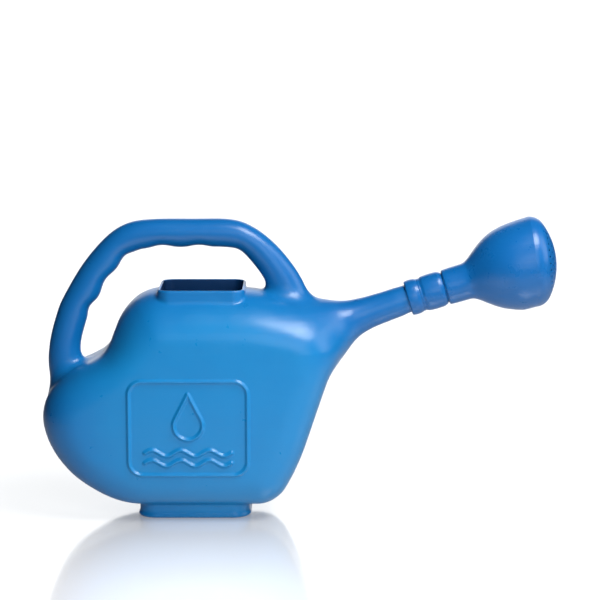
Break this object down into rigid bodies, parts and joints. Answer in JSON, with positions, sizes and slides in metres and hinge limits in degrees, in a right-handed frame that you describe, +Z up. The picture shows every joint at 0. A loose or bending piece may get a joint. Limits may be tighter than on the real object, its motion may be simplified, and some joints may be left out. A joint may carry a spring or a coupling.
{
  "type": "watering can",
  "caption": "Flattened blow-moulded watering can with a looped finger-grip handle, rectangular filler mouth, rising spout and a push-on rose that swivels.",
  "frame": {"origin": "centre of the foot's standing face, on the ground", "axes": "+Z up, +X from the rear of the tank towards the spout and rose, +Y across the can to its left when looking along +X"},
  "size_m": [0.6127, 0.1564, 0.3575],
  "materials": {
    "can_plastic": "semi-gloss blow-moulded polyethylene",
    "rose_plastic": "semi-gloss injection-moulded polyethylene"
  },
  "bodies": {
    "can": {"tank_lower": "can_plastic", "shoulder_rear": "can_plastic", "shoulder_mouth": "can_plastic", "shoulder_front": "can_plastic", "can_handle": "can_plastic", "can_spout": "can_plastic"},
    "collar": {"rose_collar": "rose_plastic"},
    "rose": {"rose_bell": "rose_plastic", "rose_face": "rose_plastic"}
  },
  "joints": [
    {"name": "rose_pull", "type": "slide", "parent": "can", "child": "collar", "axis": [0.9573, 0, 0.289], "range_m": [0, 0.045]},
    {"name": "rose_turn", "type": "hinge", "parent": "collar", "child": "rose", "pos_m": [0.30865, 0, 0.2747], "axis": [0.9573, 0, 0.289], "continuous": true}
  ]
}
